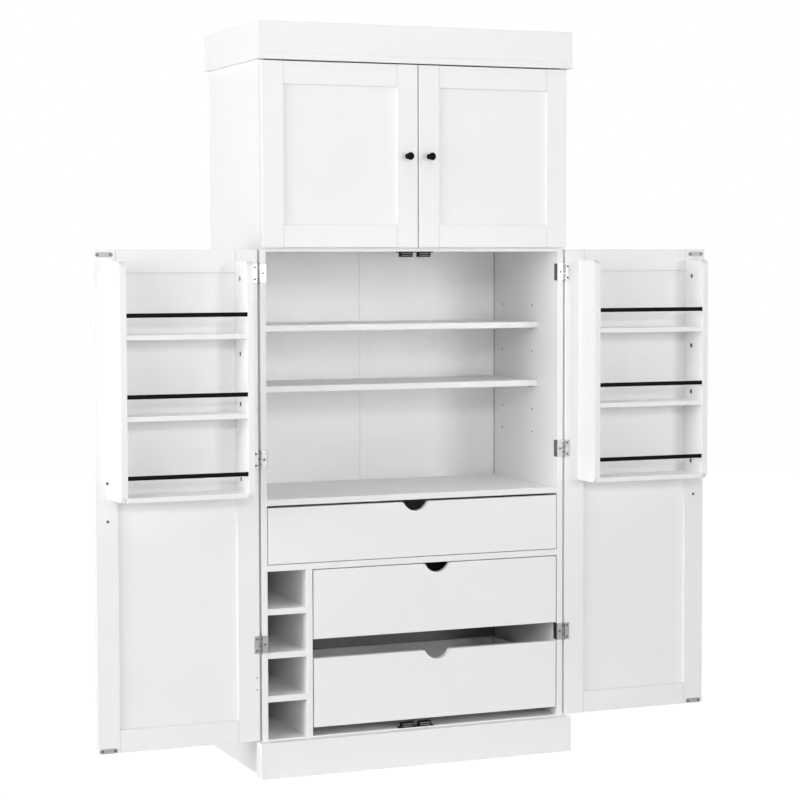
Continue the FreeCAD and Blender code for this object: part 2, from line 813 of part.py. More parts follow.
def build_drawer(name, bay, gap, z0, z1, box_height):
    """A drawer: front, box with a let-in bottom, and its runner halves; returns the cabinet halves."""
    left_wall, right_wall = bay
    box_left, box_right = left_wall + runner_space, right_wall - runner_space
    box_z = z0 + box_rise
    floor_z = box_z + box_floor_rise
    groove = box_floor_groove
    floor = block(box_left + box_board - groove, box_right - box_board + groove,
                  front_board - groove, box_back_y - box_board + groove, floor_z, floor_z + box_floor)
    top = box_z + box_height
    sides = [block(box_left, box_left + box_board, front_board, box_back_y, box_z, top),
             block(box_right - box_board, box_right, front_board, box_back_y, box_z, top)]
    back = block(box_left + box_board, box_right - box_board, box_back_y - box_board, box_back_y, box_z, top)
    face = drawer_front(left_wall + gap, right_wall - gap, z0, z1)
    runner_z = box_z + runner_rise
    walls = ((left_wall, 1), (right_wall, -1))
    add(name + "_front", face.cut(floor))
    add(name + "_box", *[piece.cut(floor) for piece in sides + [back]], floor)
    add(name + "_sliders", *[slider(x, way, runner_z) for x, way in walls])
    channels = [channel(x, way, runner_z) for x, way in walls]
    glides = [glide(x, way, runner_z) for x, way in walls]
    return channels, glides


def build_drawers():
    """The wide top drawer and the two deep drawers beside the bottle cells."""
    low_z = bottom_top + low_front_floor_gap
    middle_z = cells_top - low_front_head_gap - low_front_height
    top_z = top_bay_floor + top_front_floor_gap
    low_bay = (bay_left, inner)
    side_gap = low_front_side_gap
    drawers = [("drawer_bottom", low_bay, side_gap, low_z, low_z + low_front_height, low_box_height),
               ("drawer_middle", low_bay, side_gap, middle_z, middle_z + low_front_height, low_box_height),
               ("drawer_top", (-inner, inner), top_front_side_gap, top_z, top_z + top_front_height,
                top_box_height)]
    channels, glides = [], []
    for each in drawers:
        found = build_drawer(*each)
        channels += found[0]
        glides += found[1]
    add("cabinet_runners", *channels)
    add("runner_glides", *glides)


# ---- assembly ----
def butt_hinge_levels():
    """Middle heights of the left and the right lower door's three hinges, from the bottom up.

    The lowest hinge sits on a bottle shelf at the left, and between two drawer fronts at the right.
    """
    middle = compartment_floor_z + middle_hinge_rise
    top = lower_top - top_hinge_drop
    bottle_shelf_top = bottom_top + 2 * (cell_height + board)
    above_shelf = bottle_shelf_top + hinge_height / 2 + knuckle_gap
    between_fronts = (bottom_top + low_front_floor_gap + cells_top - low_front_head_gap) / 2
    return (above_shelf, middle, top), (between_fronts, middle, top)


def build_butt_hinges(left_levels, right_levels):
    """The frame leaves and pins of the lower doors' hinges; returns the screws at each side."""
    left_screws = [s for z in left_levels for s in frame_leaf_screws(z)]
    right_screws = [mirrored(s) for z in right_levels for s in frame_leaf_screws(z)]
    leaves = [bored(frame_leaf(z), left_screws) for z in left_levels]
    leaves += [bored(mirrored(frame_leaf(z)), right_screws) for z in right_levels]
    pins = [hinge_pin(z) for z in left_levels] + [mirrored(hinge_pin(z)) for z in right_levels]
    add("butt_hinge_frame_leaves", *leaves)
    add("butt_hinge_pins", *pins)
    return left_screws, right_screws


def main():
    """Build every node and write one STEP file for each."""
    left_levels, right_levels = butt_hinge_levels()
    left_screws, right_screws = build_butt_hinges(left_levels, right_levels)
    catch_fixings = build_catches()
    add("frame_screws", *(left_screws + right_screws + catch_fixings))
    build_carcass(left_screws, right_screws, catch_fixings)
    build_shelves()
    build_upper_doors()
    lower_door("left", left_levels, pilot_holes())
    lower_door("right", right_levels, [])
    build_drawers()

    os.makedirs("parts", exist_ok=True)
    for name, pieces in nodes.items():
        shape = pieces[0] if len(pieces) == 1 else Part.makeCompound(pieces)
        shape.exportStep("parts/%s.step" % name)
    print(len(nodes), "nodes,", sum(len(p) for p in nodes.values()), "solids")


main()
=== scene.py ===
import json
import math

import bpy
import numpy as np
from mathutils import Matrix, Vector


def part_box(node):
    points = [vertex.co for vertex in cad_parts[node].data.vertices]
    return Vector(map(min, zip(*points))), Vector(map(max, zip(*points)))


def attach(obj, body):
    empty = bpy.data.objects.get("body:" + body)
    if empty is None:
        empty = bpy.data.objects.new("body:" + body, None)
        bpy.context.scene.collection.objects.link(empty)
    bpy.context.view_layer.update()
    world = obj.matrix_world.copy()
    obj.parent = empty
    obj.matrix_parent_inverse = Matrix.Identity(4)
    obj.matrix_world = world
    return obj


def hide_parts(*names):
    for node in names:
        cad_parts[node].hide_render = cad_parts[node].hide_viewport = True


# The looks of a tall white pantry cabinet: its finishes, the turned, cast and pressed hardware on
# it, and a plain white studio. Everything is in metres, in the frame of the cabinet's own model.

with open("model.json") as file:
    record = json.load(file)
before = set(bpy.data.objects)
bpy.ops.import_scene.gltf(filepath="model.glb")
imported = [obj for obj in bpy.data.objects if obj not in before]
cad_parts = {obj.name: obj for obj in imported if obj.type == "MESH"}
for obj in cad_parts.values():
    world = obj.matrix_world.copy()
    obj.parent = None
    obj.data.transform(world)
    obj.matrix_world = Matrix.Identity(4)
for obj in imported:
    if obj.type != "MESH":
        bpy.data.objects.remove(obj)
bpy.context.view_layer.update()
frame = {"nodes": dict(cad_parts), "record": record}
nodes = frame["nodes"]

MM = 0.001
BOTH_SIDES = ("left", "right")
FORWARDS = (0.0, -1.0, 0.0)
BACKWARDS = (0.0, 1.0, 0.0)
UPWARDS = (0.0, 0.0, 1.0)


# ---- shapes: closed surfaces worked out as whole arrays ----
EASE_STEPS = 2                   # faces round each quarter of an eased edge
SHARP_EDGE = math.radians(40)    # edges that turn more than this stay crisp


def unit(vector):
    """A vector scaled to a length of one."""
    vector = np.asarray(vector, float)
    return vector / np.linalg.norm(vector)


def across(way):
    """Two directions square to a way and to each other."""
    way = unit(way)
    first = unit(np.cross(way, [0.0, 0.0, 1.0] if abs(way[2]) < 0.9 else [1.0, 0.0, 0.0]))
    return first, np.cross(way, first)


def ring_surface(rings, looped=False):
    """Four-sided faces from each ring of points to the next, and one flat face over each end. In a
    looped surface the last ring joins the first instead, which leaves a hole through it."""
    rows, columns = rings.shape[:2]
    index = np.arange(rows * columns).reshape(rows, columns)
    beside, onward = np.roll(index, -1, axis=1), np.roll(index, -1, axis=0)
    sides = np.stack([index, beside, np.roll(beside, -1, axis=0), onward], axis=-1)
    if looped:
        return rings.reshape(-1, 3), sides.reshape(-1, 4).tolist()
    ends = [index[0][::-1].tolist(), index[-1].tolist()]
    return rings.reshape(-1, 3), sides[:-1].reshape(-1, 4).tolist() + ends


def turned(profile, place, way, columns):
    """A turned piece: each pair of radius and height in the profile becomes a ring, whose point at
    an angle is the place, plus the height along the way, plus the radius times that angle's cosine
    and sine along the two directions square to it."""
    radius, rise = np.asarray(profile, float).T
    angle = np.arange(columns) * 2 * math.pi / columns
    first, second = across(way)
    circle = np.cos(angle)[:, None] * first + np.sin(angle)[:, None] * second
    along = np.asarray(place, float) + rise[:, None, None] * unit(way)
    return ring_surface(along + radius[:, None, None] * circle)


def eased_block(low, high, ease):
    """A block with all its edges rounded: lines crowded towards the edges of each side give a grid,
    and each of its points is drawn to the ease's distance from the block shrunk by that ease."""
    low, high = np.asarray(low, float), np.asarray(high, float)
    centre, reach = (low + high) / 2, (high - low) / 2 - ease
    bend = ease * np.tan(np.linspace(0, math.pi / 4, EASE_STEPS + 1))
    points, faces, count = [], [], 0
    for axis in range(3):
        a, b = (axis + 1) % 3, (axis + 2) % 3
        u = np.concatenate([-reach[a] - bend[::-1], reach[a] + bend])
        v = np.concatenate([-reach[b] - bend[::-1], reach[b] + bend])
        index = np.arange(len(u) * len(v)).reshape(len(u), len(v))
        quads = np.stack([index[:-1, :-1], index[1:, :-1], index[1:, 1:], index[:-1, 1:]], axis=-1)
        for sign in (-1, 1):
            grid = np.empty((len(u), len(v), 3))
            grid[..., a], grid[..., b] = u[:, None], v
            grid[..., axis] = sign * (reach[axis] + ease)
            points.append(grid.reshape(-1, 3))
            faces.append(count + quads.reshape(-1, 4)[:, ::sign])
            count += index.size
    points = np.concatenate(points)
    core = np.clip(points, -reach, reach)
    points = core + (points - core) * (ease / np.linalg.norm(points - core, axis=1))[:, None]
    points, same = np.unique(np.round(points, 8), axis=0, return_inverse=True)
    return points + centre, same.reshape(-1)[np.concatenate(faces)].tolist()


def rounded_profile(radius, length, ease, steps):
    """The profile of a rod from its start at zero to its length: at both ends the edge follows a
    quarter circle of the ease's radius, in a number of steps."""
    turn = np.linspace(0, math.pi / 2, steps + 1)
    rim = radius - ease + ease * np.sin(turn)
    rise = ease - ease * np.cos(turn)
    return np.stack([np.concatenate([rim, rim[::-1]]),
                     np.concatenate([rise, length - rise[::-1]])], axis=1)


def enclosed(points, faces):
    """Six times the volume inside a surface, each face of which is cut in triangles from its first
    corner; it is negative when the faces point inwards."""
    total = 0.0
    for face in faces:
        p = points[face]
        total += (np.cross(p[1:-1], p[2:]) @ p[0]).sum()
    return total


def make_piece(name, surfaces, finish, body, replaced):
    """One piece out of closed surfaces, faces outwards, that moves with a body of the cabinet and
    stands in for some nodes of its model."""
    points, faces, count = [], [], 0
    for shape_points, shape_faces in surfaces:
        if enclosed(shape_points, shape_faces) < 0:
            shape_faces = [face[::-1] for face in shape_faces]
        points.append(shape_points)
        faces += [[count + corner for corner in face] for face in shape_faces]
        count += len(shape_points)
    mesh = bpy.data.meshes.new(name)
    mesh.from_pydata(np.concatenate(points).tolist(), [], faces)
    mesh.polygons.foreach_set("use_smooth", [True] * len(faces))
    mesh.set_sharp_from_angle(angle=SHARP_EDGE)
    mesh.materials.append(finish.material)
    piece = bpy.data.objects.new(name, mesh)
    bpy.context.scene.collection.objects.link(piece)
    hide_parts(*replaced)
    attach(piece, body)


# ---- reading places from the cabinet's model ----
def solids(node):
    """The separate solids of a node, each as the points of its surface.

    Corners that coincide are one spot; every spot takes the lowest label among the triangles that
    share it, until nothing changes, so that the spots of one solid end with the same label."""
    mesh = nodes[node].data
    points = np.empty(len(mesh.vertices) * 3)
    mesh.vertices.foreach_get("co", points)
    points = points.reshape(-1, 3)
    mesh.calc_loop_triangles()
    corners = np.empty(len(mesh.loop_triangles) * 3, np.int32)
    mesh.loop_triangles.foreach_get("vertices", corners)
    spot = np.unique(np.round(points, 6), axis=0, return_inverse=True)[1].reshape(-1)
    faces = spot[corners.reshape(-1, 3)]
    label = np.arange(spot.max() + 1)
    while True:
        fresh = label.copy()
        np.minimum.at(fresh, faces, label[faces].min(axis=1)[:, None])
        fresh = fresh[fresh]
        if (fresh == label).all():
            break
        label = fresh
    return [points[label[spot] == each] for each in np.unique(label)]


def extent(points):
    """The lowest and the highest corner of the box round some points."""
    return points.min(axis=0), points.max(axis=0)


def axle(points):
    """The axis of a round solid, which is the direction whose size differs from the other two."""
    size = np.ptp(points, axis=0)
    return int(np.argmax(np.abs(size - np.median(size))))


def head_end(points):
    """Where a screw's head is and which way the screw is driven: the head is its wider end."""
    axis = axle(points)
    low, high = extent(points)
    others = [each for each in range(3) if each != axis]
    slack = (high[axis] - low[axis]) / 20

    def spread(at_end):
        return np.ptp(points[at_end][:, others], axis=0).max()

    at_low, at_high = points[:, axis] < low[axis] + slack, points[:, axis] > high[axis] - slack
    head_low = spread(at_low) > spread(at_high)
    place, way = (low + high) / 2, np.zeros(3)
    place[axis] = low[axis] if head_low else high[axis]
    way[axis] = 1.0 if head_low else -1.0
    return place, way


# ---- finishes ----
EVEN = (1.0, 1.0, 1.0)           # a pattern that isn't stretched along any axis
WHITE = (1.0, 1.0, 1.0, 1.0)


def grey(level):
    """A neutral colour."""
    return (level, level, level)


class Wire:
    """The output of a node, on which plain arithmetic adds Math nodes."""

    def __init__(self, maker, socket):
        self.maker = maker
        self.socket = socket

    def sum_up(self, operation, first, second):
        return self.maker.node("ShaderNodeMath", {"operation": operation}, {0: first, 1: second})

    def __add__(self, other):
        return self.sum_up("ADD", self, other)

    def __sub__(self, other):
        return self.sum_up("SUBTRACT", self, other)

    def __rsub__(self, other):
        return self.sum_up("SUBTRACT", other, self)

    def __abs__(self):
        return self.sum_up("ABSOLUTE", self, 0.0)

    def __mul__(self, other):
        return self.sum_up("MULTIPLY", self, other)

    __radd__ = __add__
    __rmul__ = __mul__


class Maker:
    """A tree of nodes, and the one way in which nodes are added to it."""

    def __init__(self, holder):
        holder.use_nodes = True
        self.tree = holder.node_tree
        self.tree.nodes.clear()

    def node(self, kind, settings, sockets, out=0):
        """Any node: its settings first, then the values or wires of its sockets."""
        made = self.tree.nodes.new(kind)
        for key, value in settings.items():
            setattr(made, key, value)
        for key, value in sockets.items():
            if isinstance(value, Wire):
                self.tree.links.new(value.socket, made.inputs[key])
            else:
                made.inputs[key].default_value = value
        return Wire(self, made.outputs[out]) if made.outputs else None


class Finish(Maker):
    """One finish of the cabinet: its material and the nodes that make it."""

    def __init__(self, slot):
        self.slot = slot
        self.material = bpy.data.materials.new("finish_" + slot)
        super().__init__(self.material)

    def place(self, stretch=EVEN):
        """The point on the piece, in metres, stretched along each axis."""
        point = self.node("ShaderNodeTexCoord", {}, {}, "Object")
        if stretch == EVEN:
            return point
        return self.node("ShaderNodeMapping", {}, {"Vector": point, "Scale": stretch})

    def noise(self, size, detail=2.0, roughness=0.5, stretch=EVEN):
        """Soft random variation with features of about a size in metres, from 0 to 1."""
        sockets = {"Vector": self.place(stretch), "Scale": 1 / size}
        sockets.update({"Detail": detail, "Roughness": roughness})
        return self.node("ShaderNodeTexNoise", {}, sockets)

    def cells(self, size):
        """The random value of the grain that a point lies in, as on crystals of zinc."""
        sockets = {"Vector": self.place(), "Scale": 1 / size}
        colour = self.node("ShaderNodeTexVoronoi", {}, sockets, "Color")
        return self.node("ShaderNodeSeparateColor", {}, {"Color": colour}, "Red")

    def along(self, axis):
        """How far a point on the piece is along X, Y or Z, in metres."""
        return self.node("ShaderNodeSeparateXYZ", {}, {"Vector": self.place()}, axis)

    def between(self, wire, low, high):
        """A wire spread over 0 to 1 between two of its values, flat beyond them."""
        sockets = {"Value": wire, "From Min": low, "From Max": high}
        return self.node("ShaderNodeMapRange", {"clamp": True}, sockets)

    def near(self, wire, value, core, edge):
        """One where a wire is within the core of a value, nought beyond the edge."""
        return self.between(abs(wire - value), edge, core)

    def within(self, wire, low, high, fade):
        """One where a wire lies between two values, nought further outside them than the fade."""
        half = (high - low) / 2
        return self.near(wire, (low + high) / 2, half, half + fade)

    def blend(self, factor, colour, other):
        """A colour that turns into another as the factor rises."""
        ends = [each if isinstance(each, Wire) else (*each, 1.0) for each in (colour, other)]
        sockets = {0: factor, 6: ends[0], 7: ends[1]}
        return self.node("ShaderNodeMix", {"data_type": "RGBA"}, sockets, 2)

    def relief(self, height, depth):
        """A normal tilted by small differences of height, given the depth in metres of a full
        one."""
        sockets = {"Height": height, "Strength": 1.0, "Distance": depth}
        return self.node("ShaderNodeBump", {}, sockets)

    def coat(self, **sockets):
        """The surface itself, from its base colour, roughness and so on."""
        named = {key.replace("_", " "): value for key, value in sockets.items()}
        self.output(self.node("ShaderNodeBsdfPrincipled", {}, named))
        return self

    def output(self, shader):
        """What the finish shows."""
        self.node("ShaderNodeOutputMaterial", {}, {"Surface": shader})


# A core is how far a shade is at its full strength, and an edge is where it has faded to nought.
TONGUE = 8.0 * MM                # how far a door's panel is let into its frame
# painted shadow along the joints of the framed doors
JOINT_CORE = 0.3 * MM
JOINT_EDGE = 1.3 * MM
JOINT_SHADE = (0.30, 0.30, 0.29)
PIN_HOLE_CORE = 3.0 * MM
PIN_HOLE_EDGE = 3.4 * MM
PIN_HOLE_START = 0.3 * MM        # from the inner face of a side panel into its board
PIN_HOLE_END = 11.7 * MM
PILOT_X = -412.5 * MM            # the middle of the two spare holes in the left lower door
PILOT_Z = 228.0 * MM
PILOT_SPACING = 28.5 * MM
PILOT_CORE = 1.7 * MM
PILOT_EDGE = 2.3 * MM
# bare board darkened by painted shade, inside drilled holes
BARE_BOARD_IN_SHADE = (0.02, 0.016, 0.012)
# painted shade on the back board behind the drawers and the bottle cells
BAY_SHADE_GREY = (0.34, 0.34, 0.33)
# where the painted shade round the hinge knuckles is full and where it ends
KNUCKLE_CORE = 4.2 * MM
KNUCKLE_EDGE = 5.2 * MM
# the painted shade on the hinge leaves wrapped onto the side panels fades out between these
WRAP_SHADE_CORE = 20.0 * MM             # back from the front edge of a side panel
WRAP_SHADE_EDGE = 25.0 * MM


def joint_shadow_lines(made):
    """Painted shadow where the parts of a framed door meet, in the fine gaps that paint never quite
    closes: between stiles and rails, along the ends of each panel, and more faintly along its
    sides."""
    x, y, z = abs(made.along("X")), made.along("Y"), made.along("Z")
    joints = 0.0
    for door in ("upper_right_door", "lower_right_door"):
        panel_low, panel_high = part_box(door + "_panel")
        low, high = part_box(door + "_frame")
        reach_x = (panel_high[0] - panel_low[0]) / 2 - TONGUE
        reach_z = (panel_high[2] - panel_low[2]) / 2 - TONGUE
        from_x = abs(x - (panel_low[0] + panel_high[0]) / 2) - reach_x
        from_z = abs(z - (panel_low[2] + panel_high[2]) / 2) - reach_z
        beyond = made.between(from_z, -1.0 * MM, 0.0)
        upright = made.near(from_x, 0.0, JOINT_CORE, JOINT_EDGE) * (0.3 + beyond * 0.7)
        level = made.near(from_z, 0.0, JOINT_CORE, JOINT_EDGE) * made.between(from_x, 0.6 * MM, 0.0)
        on_door = made.within(y, low[1], high[1], 0.5 * MM)
        in_height = made.within(z, low[2], high[2], 1.0 * MM)
        in_width = made.within(x, low[0], high[0], 1.0 * MM)
        joints = joints + (upright + level * 0.7) * on_door * in_height * in_width
    return joints


def bare_and_shaded_holes(made):
    """Inside the holes for the shelf pins, and in the two spare pilot holes of the left lower door,
    where the bare board shows, darkened by painted shade."""
    x, y = abs(made.along("X")), made.along("Y")
    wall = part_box("side_panel_right")[0][0]
    rows = sorted({round(float(points[:, 1].mean()), 3) for points in solids("shelf_pins")})
    inside = 0.0
    for row in rows:
        inside = inside + made.near(y, row, PIN_HOLE_CORE, PIN_HOLE_EDGE)
    deep = made.within(x, wall + PIN_HOLE_START, wall + PIN_HOLE_END, 0.2 * MM)
    beside_pilots = abs(made.along("X") - PILOT_X)
    above_pilots = abs(abs(made.along("Z") - PILOT_Z) - PILOT_SPACING / 2)
    return inside * deep + made.between(beside_pilots + above_pilots, PILOT_EDGE, PILOT_CORE)


def white_paint():
    """Sprayed satin paint on smooth board: a faint cloudiness, fine orange peel, few dust nibs,
    painted shadow in the joints of the doors, and bare board darkened by painted shade inside
    drilled holes."""
    made = Finish("white_paint")
    cloud = made.noise(0.35, 3.0)
    peel = made.noise(0.0022, 2.0)
    nibs = made.between(made.noise(0.006, 1.0), 0.72, 0.80)
    tone = made.between(cloud * 0.8 + peel * 0.2, 0.3, 0.7)
    paint = made.blend(tone, grey(0.895), grey(0.914))
    # painted shadow along the door joints, blended a third of the way to JOINT_SHADE
    joint_shadowed_paint = made.blend(made.between(joint_shadow_lines(made), 0.0, 1.0) * 0.33, paint, JOINT_SHADE)
    # bare board under painted shade inside the drilled holes
    return made.coat(Base_Color=made.blend(bare_and_shaded_holes(made), joint_shadowed_paint, BARE_BOARD_IN_SHADE),
                     Roughness=0.36 + cloud * 0.08 + peel * 0.06,
                     IOR=1.46,
                     Normal=made.relief(peel + nibs * 0.4, 0.02 * MM))


def back_board():
    """Thin hardboard with a printed white face: slightly duller, with the press's fine texture,
    painted shade behind the drawers and the bottle cells, and painted shade where it meets the side
    panels."""
    made = Finish("back_board")
    cloud = made.noise(0.25, 3.0)
    press = made.noise(0.0012, 3.0, 0.6)
    fibre = made.noise(0.004, 4.0, 0.6, (1.0, 1.0, 0.2))
    tone = made.between(cloud * 0.6 + fibre * 0.4, 0.3, 0.7)
    print_white = made.blend(tone, grey(0.924), grey(0.940))
    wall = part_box("side_panel_right")[0][0]
    # painted shade in the corner where the back board meets the side panels
    corner_shade = made.between(abs(made.along("X")), wall - 3.2 * MM, wall - 1.0 * MM) * 0.65
    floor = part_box("compartment_floor")[0][2]
    low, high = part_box("back_panels")
    core = (low[1] + high[1]) / 2
    # painted shade on the back board below the compartment floor, behind the drawers and cells
    plain = (made.between(made.along("Z"), floor + 1.0 * MM, floor - 1.0 * MM)
             * made.between(made.along("Y"), core + 0.5 * MM, core - 0.5 * MM))
    shaded_print = made.blend(plain * 0.8, print_white, BAY_SHADE_GREY)
    return made.coat(Base_Color=made.blend(corner_shade, shaded_print, grey(0.16)),
                     Roughness=0.48 + press * 0.12,
                     Normal=made.relief(press * 0.7 + fibre * 0.3, 0.03 * MM))


def knuckle_shade(made):
    """Painted shade around the knuckles of the butt hinges, darkest at the seams between them."""
    low, high = extent(solids("butt_hinge_pins")[0])
    middle = (low + high) / 2
    off = abs(abs(made.along("X")) - abs(middle[0])) + abs(made.along("Y") - middle[1])
    around = made.between(off, KNUCKLE_EDGE, KNUCKLE_CORE)
    seams = made.between(made.noise(0.0024, 1.0, 0.5, (0.01, 0.01, 1.0)), 0.42, 0.52)
    return around * (0.35 + seams * 0.45)


def hinge_nickel():
    """Satin nickel plate on pressed steel, brushed along the hinge, a little worn at random, with
    painted shade where it is wrapped onto the inner faces of the side panels, and painted shade
    round the knuckles."""
    made = Finish("hinge_nickel")
    brush = made.noise(0.0006, 4.0, 0.7, (1.0, 1.0, 0.06))
    cloud = made.noise(0.012, 3.0)
    tone = made.between(brush * 0.6 + cloud * 0.4, 0.3, 0.7)
    nickel = made.blend(tone, grey(0.39), grey(0.56))
    wall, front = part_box("side_panel_right")[0][:2]
    # painted shade on the leaves wrapped onto the inner faces of the side panels
    wrap_shade = (made.between(abs(made.along("X")), wall + 0.2 * MM, wall - 0.2 * MM)
             * made.between(made.along("Y"), front + WRAP_SHADE_EDGE, front + WRAP_SHADE_CORE) * 0.7)
    wrapped = made.blend(wrap_shade, nickel, grey(0.08))
    # painted shade round the hinge knuckles
    return made.coat(Base_Color=made.blend(knuckle_shade(made) * 0.85, wrapped, grey(0.05)),
                     Metallic=1.0,
                     Roughness=0.20 + brush * 0.14 + cloud * 0.05,
                     Normal=made.relief(brush, 0.02 * MM))


def runner_zinc():
    """Bright zinc plate with faint crystals and rolling marks along the runner."""
    made = Finish("runner_zinc")
    crystal = made.cells(0.004)
    rolled = made.noise(0.0008, 4.0, 0.7, (1.0, 0.05, 1.0))
    tone = made.between(crystal * 0.5 + rolled * 0.5, 0.2, 0.8)
    return made.coat(Base_Color=made.blend(tone, (0.50, 0.51, 0.53), (0.66, 0.67, 0.69)),
                     Metallic=1.0,
                     Roughness=0.26 + crystal * 0.10 + rolled * 0.10,
                     Normal=made.relief(rolled, 0.015 * MM))


def strike_steel():
    """Plain bright steel plate with light scuffs from the magnets."""
    made = Finish("strike_steel")
    grain = made.noise(0.0007, 4.0, 0.7, (0.06, 1.0, 1.0))
    scuff = made.between(made.noise(0.005, 4.0, 0.7), 0.55, 0.75)
    return made.coat(Base_Color=made.blend(scuff, grey(0.42), grey(0.34)),
                     Metallic=0.3,
                     Roughness=0.34 + grain * 0.14 + scuff * 0.10,
                     Normal=made.relief(grain, 0.012 * MM))


def screw_steel():
    """The dull zinc plate of the screws and cams, with a fine grain."""
    made = Finish("screw_steel")
    grain = made.noise(0.0005, 3.0, 0.6)
    return made.coat(Base_Color=made.blend(grain, grey(0.09), grey(0.17)),
                     Metallic=1.0,
                     Roughness=0.30 + grain * 0.15,
                     Normal=made.relief(grain, 0.01 * MM))


def catch_black():
    """Moulded black plastic with a fine spark-eroded texture."""
    made = Finish("catch_black")
    spark = made.noise(0.0004, 2.0, 0.6)
    return made.coat(Base_Color=made.blend(spark, (0.006, 0.006, 0.007), (0.012, 0.012, 0.013)),
                     Roughness=0.42 + spark * 0.14,
                     Specular_IOR_Level=0.10,
                     Normal=made.relief(spark, 0.02 * MM))


def glide_nylon():
    """Natural nylon, slightly translucent looking and waxy."""
    made = Finish("glide_nylon")
    cloud = made.noise(0.003, 2.0)
    return made.coat(Base_Color=made.blend(cloud, (0.70, 0.69, 0.65), (0.78, 0.77, 0.73)),
                     Roughness=0.36 + cloud * 0.10,
                     Normal=made.relief(cloud, 0.02 * MM))


def iron_black():
    """Black powder coat: fine pebbles, softly shining."""
    made = Finish("iron_black")
    pebble = made.noise(0.0009, 2.0, 0.6)
    cloud = made.noise(0.02, 2.0)
    return made.coat(Base_Color=made.blend(cloud, grey(0.002), grey(0.004)),
                     Roughness=0.46 + pebble * 0.12 + cloud * 0.04,
                     Specular_IOR_Level=0.07,
                     Normal=made.relief(pebble, 0.03 * MM))


finishes = {}
for make in (white_paint, back_board, hinge_nickel, runner_zinc, strike_steel, screw_steel,
             catch_black, glide_nylon, iron_black):
    finishes[make.__name__] = make()


def dress_nodes():
    """Give every node of the cabinet's model the finish that its record names."""
    for row in frame["record"]["subparts"]:
        mesh = nodes[row["node"]].data
        mesh.materials.clear()
        mesh.materials.append(finishes[row["material_slot"]].material)


dress_nodes()


# ---- knobs and pulls ----
KNOB_HEAD = 0.93                 # radii, as shares of the plain knob's
KNOB_FOOT = 0.66
KNOB_WAIST = 0.55
KNOB_HALF_HEAD = 0.19            # heights, as shares of the knob's
KNOB_RIM = 0.05
KNOB_POWER = 0.5
PULL_BAR = 5.0 * MM              # radii of the bar, the posts and their collars
PULL_POST = 4.0 * MM
PULL_FOOT = 6.0 * MM
PULL_BAR_EASE = 2.2 * MM
THROUGH_SCREW = 14.0 * MM        # only the screws of a pull are longer than this


def knob_profile(radius, reach, foot, neck):
    """A turned knob, from its foot on the door: a straight-sided foot, a waist that narrows and
    widens again with the square of the height, and a flattened round head that follows a
    superellipse, where the radius is the sine of the turn to a power below one."""
    head = KNOB_HALF_HEAD * reach
    rim = KNOB_RIM * reach
    turn = np.linspace(0.02, math.pi - 0.05, 22)
    head_radius = radius * np.sin(turn) ** KNOB_POWER
    head_rise = reach - head - head * np.cos(turn)
    keep = head_radius > foot * 1.02
    first = head_rise[keep][0]
    sweep = np.linspace(-1, 1, 11)
    waist = neck + (foot - neck) * sweep ** 2
    rise = rim + (sweep + 1) / 2 * (first - 1.5 * rim)
    return np.stack([np.concatenate([[foot], waist, head_radius[keep]]),
                     np.concatenate([[0.0], rise, head_rise[keep]])], axis=1)


def knobs():
    """The two small knobs of the upper doors."""
    for side in BOTH_SIDES:
        node = "upper_%s_door_knob" % side
        low, high = (np.array(corner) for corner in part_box(node))
        centre = (low + high) / 2
        centre[1] = high[1]
        radius = (high[0] - low[0]) / 2
        profile = knob_profile(KNOB_HEAD * radius, high[1] - low[1], KNOB_FOOT * radius,
                               KNOB_WAIST * radius)
        make_piece("knob_upper_%s" % side, [turned(profile, centre, FORWARDS, 40)],
                   finishes["iron_black"], "upper_%s_door" % side, [node])


def is_through_screw(points):
    """Whether a fastener is one of the long screws that hold a pull."""
    return np.ptp(points, axis=0).max() > THROUGH_SCREW


def pull_post(start, way, length):
    """A post of a pull: a low collar on the door, and a stem that swells a little into the bar."""
    profile = [(PULL_FOOT - 0.4 * MM, 0.0), (PULL_FOOT, 0.3 * MM), (PULL_FOOT, 1.2 * MM),
               (PULL_FOOT - 0.5 * MM, 1.8 * MM), (PULL_POST + 0.4 * MM, 2.4 * MM),
               (PULL_POST, 4.0 * MM), (PULL_POST, length - 8.0 * MM),
               (PULL_POST + 0.3 * MM, length - 5.5 * MM), (PULL_POST + 0.8 * MM, length - 4.0 * MM)]
    return turned(profile, start, way, 24)


def pulls():
    """The round bar pulls on the outer faces of the lower doors, each on two posts."""
    for side in BOTH_SIDES:
        door = "lower_%s_door" % side
        low, high = (np.array(corner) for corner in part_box(door + "_pull"))
        middle = (low + high) / 2
        bar_y = high[1] - PULL_BAR
        start = (middle[0], bar_y, low[2])
        bar = rounded_profile(PULL_BAR, high[2] - low[2], PULL_BAR_EASE, 5)
        surfaces = [turned(bar, start, UPWARDS, 28)]
        for points in solids(door + "_fasteners"):
            if is_through_screw(points):
                bottom, top = extent(points)
                foot = (middle[0], low[1], (bottom[2] + top[2]) / 2)
                surfaces.append(pull_post(foot, BACKWARDS, bar_y - low[1]))
        make_piece("pull_lower_%s" % side, surfaces, finishes["iron_black"], door,
                   [door + "_pull"])


knobs()
pulls()


# ---- screws, cams, pins ----
NOTHING = 1e-6                   # keeps a sine or a cosine that is divided by above nought
QUARTER_TURNS = np.radians([-45.0, -28.0, -14.0, 0.0, 14.0, 28.0])
CAM_SETBACK = 0.9 * MM
CAM_RECESS_FLOOR = 5.0 * MM


def cross_reach(turn, arm, half):
    """How far a cross-shaped recess reaches from its axis at an angle: to the end of the nearest
    arm, or to that arm's side where this is nearer."""
    off = np.abs((turn + math.pi / 4) % (math.pi / 2) - math.pi / 4)
    return np.minimum(arm / np.cos(off), half / np.maximum(np.sin(off), NOTHING))


